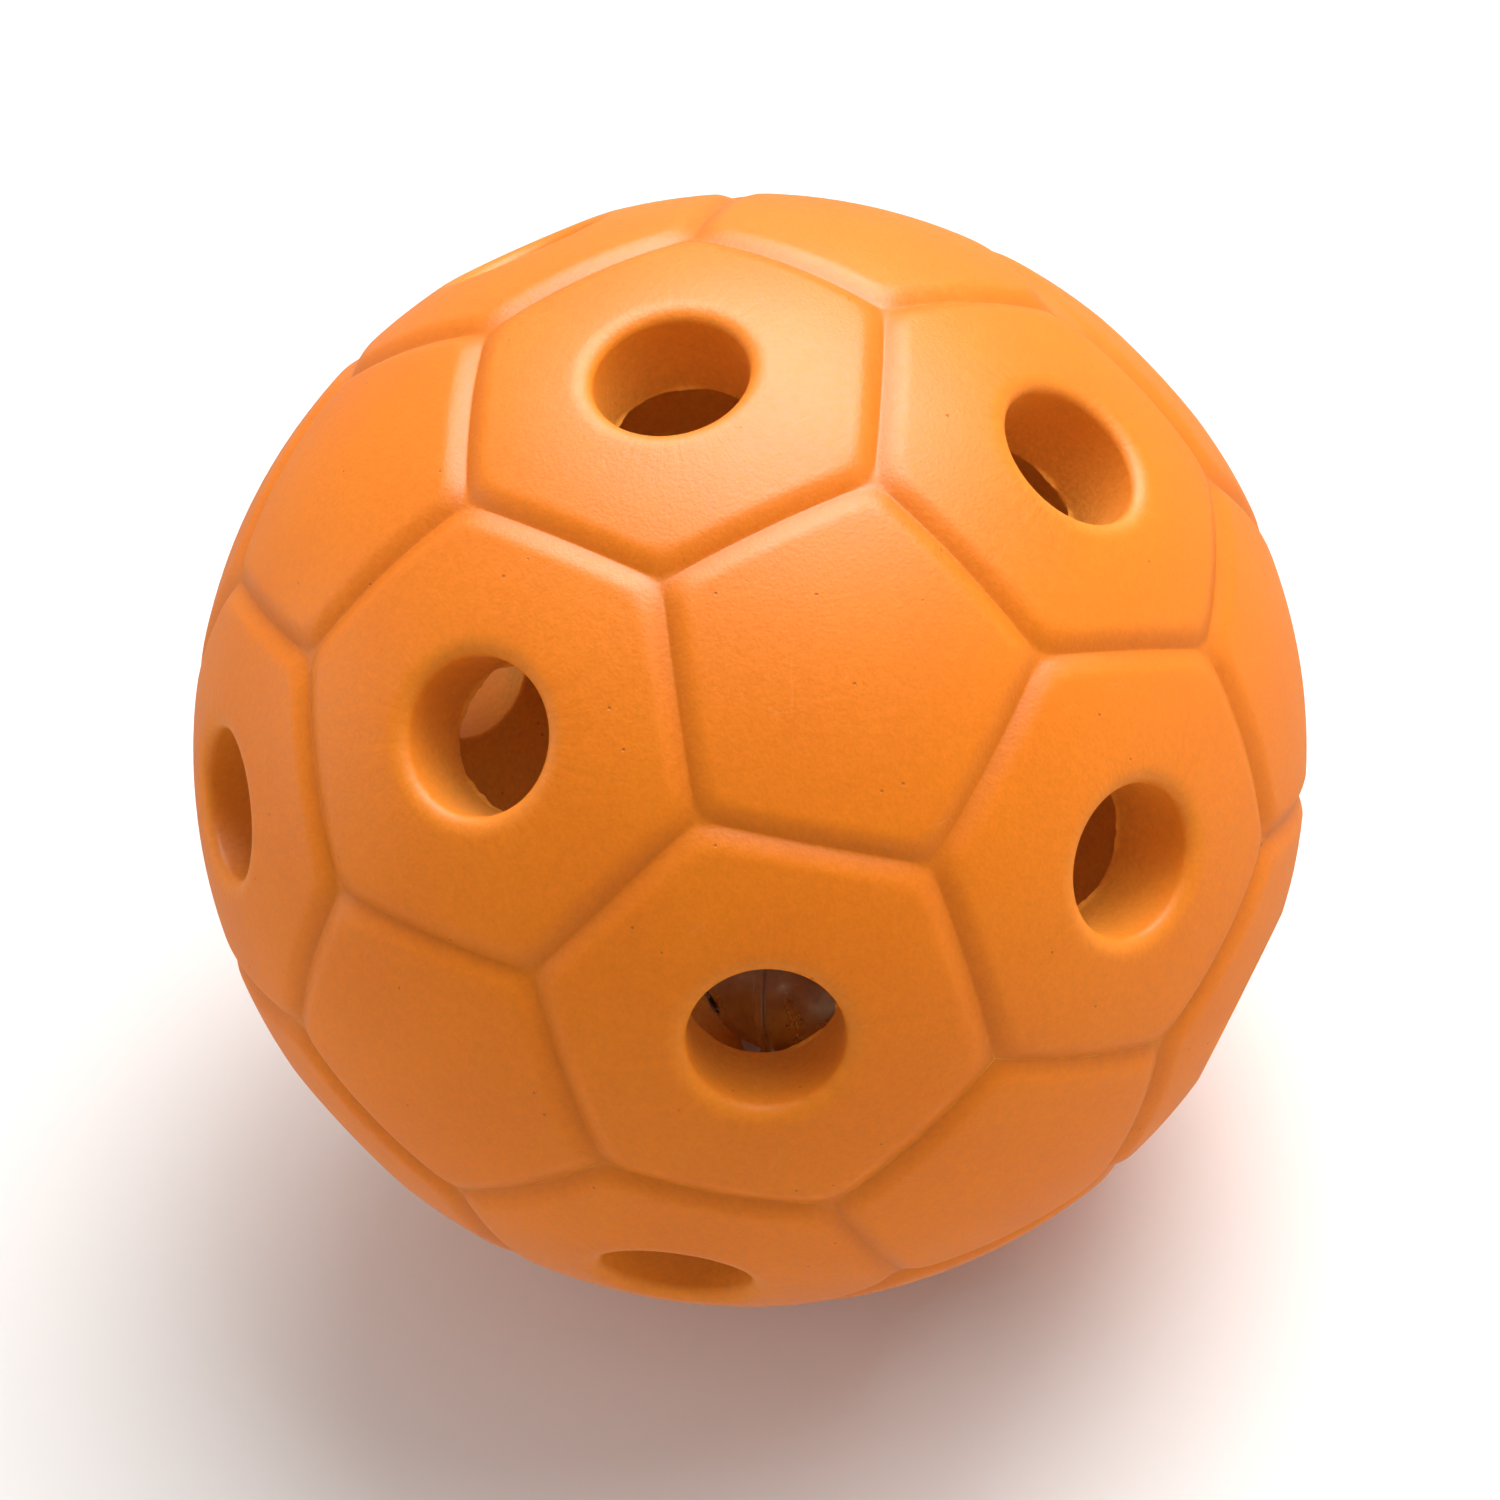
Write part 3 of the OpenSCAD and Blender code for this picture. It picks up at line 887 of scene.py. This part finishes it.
class SOUNDBALL_OT_stage(Operator):
    """Set the floor, the soft lights and the camera"""

    bl_idname = "sound_football.stage"
    bl_label = "Set stage"

    def execute(self, context):
        stage = context.scene.sound_football_stage
        scene = context.scene
        mesh = bpy.data.meshes.new("floor")
        corners = ((-FLOOR_REACH, -FLOOR_REACH), (FLOOR_REACH, -FLOOR_REACH),
                   (FLOOR_REACH, FLOOR_REACH), (-FLOOR_REACH, FLOOR_REACH))
        mesh.from_pydata([(x, y, FLOOR_Z) for x, y in corners], [], [(0, 1, 2, 3)])
        floor = new_piece(mesh, floor_paint(stage.floor))
        floor.visible_glossy = False     # the floor is left out of the ball's reflections

        level = Vector((math.cos(stage.turn), math.sin(stage.turn), 0))
        back = Vector((
            math.sin(stage.turn) * math.cos(stage.height), -math.cos(stage.turn) * math.cos(stage.height),
            math.sin(stage.height)))
        right = level * math.cos(stage.roll) + back.cross(level) * math.sin(stage.roll)
        up = back.cross(right)
        lens = bpy.data.cameras.new("camera")
        lens.lens, lens.sensor_width = LENS, SENSOR
        camera = bpy.data.objects.new("camera", lens)
        scene.collection.objects.link(camera)
        camera.matrix_world = (
            Matrix.Translation(back * stage.distance) @ Matrix((right, up, back)).transposed().to_4x4())
        scene.camera = camera

        for name, aim, distance, size, power, gloss_only in LIGHTS:
            light = bpy.data.lights.new(name, "AREA")
            light.shape, light.size, light.energy = "DISK", size, power
            lamp = bpy.data.objects.new(name, light)
            lamp.visible_diffuse = not gloss_only
            scene.collection.objects.link(lamp)
            away = (right * aim[0] + up * aim[1] + back * aim[2]).normalized()
            lamp.location = away * distance
            lamp.rotation_mode = "QUATERNION"
            lamp.rotation_quaternion = away.to_track_quat("Z", "Y")

        world = bpy.data.worlds.new("studio")
        world.use_nodes = True
        sky = world.node_tree.nodes["Background"]
        sky.inputs["Color"].default_value = linear("#FFFFFF")
        sky.inputs["Strength"].default_value = SKY
        scene.world = world
        scene.view_settings.view_transform = "Standard"
        return {"FINISHED"}


LENS, SENSOR = 142.8, 36.0       # both in millimetres
FLOOR_REACH = 6                  # metres from the ball, each way
SKY = 0.45
# Name, direction as camera right, up and back, distance and size in metres, power in watts, and
# whether it lights gloss alone. The last makes the broad highlight and gives no diffuse light
LIGHTS = [
    ("key_above", (0.12, 0.93, 0.35), 1.3, 1.2, 13.5, False),
    ("key_above_right", (0.32, 0.75, 0.58), 1.3, 1.2, 11, False),
    ("side_left", (-0.95, 0.05, -0.08), 1.3, 0.9, 4.5, False),
    ("side_right", (0.95, 0.1, 0.1), 1.3, 0.9, 1.8, False),
    ("broad_highlight", (0.0, 0.92, 0.28), 1.3, 1.4, 70, True)]


class SOUNDBALL_PT_parts(Panel):
    """Shows the settings of the foam, the bell and the stage, each with its build button"""

    bl_label = "Sound football"
    bl_space_type = "VIEW_3D"
    bl_region_type = "UI"
    bl_category = "Sound football"

    def draw(self, context):
        for settings, operator in (
                ("sound_football_foam", SOUNDBALL_OT_halves), ("sound_football_bell", SOUNDBALL_OT_bell),
                ("sound_football_stage", SOUNDBALL_OT_stage)):
            group = getattr(context.scene, settings)
            box = self.layout.box()
            for name in group.bl_rna.properties.keys():
                if name not in ("rna_type", "name"):
                    box.prop(group, name)
            box.operator(operator.bl_idname)


SETTINGS = {
    "sound_football_foam": FoamSettings,
    "sound_football_bell": BellSettings,
    "sound_football_stage": StageSettings}
CLASSES = [
    *SETTINGS.values(), SOUNDBALL_OT_halves, SOUNDBALL_OT_bell, SOUNDBALL_OT_stage, SOUNDBALL_PT_parts]


def register():
    for cls in CLASSES:
        bpy.utils.register_class(cls)
    for name, group in SETTINGS.items():
        setattr(bpy.types.Scene, name, PointerProperty(type=group))


def unregister():
    for name in SETTINGS:
        delattr(bpy.types.Scene, name)
    for cls in reversed(CLASSES):
        bpy.utils.unregister_class(cls)


def main():
    register()
    bpy.ops.sound_football.stage()
    bpy.ops.sound_football.halves()
    bpy.ops.sound_football.bell()


if __name__ == "__main__":
    main()
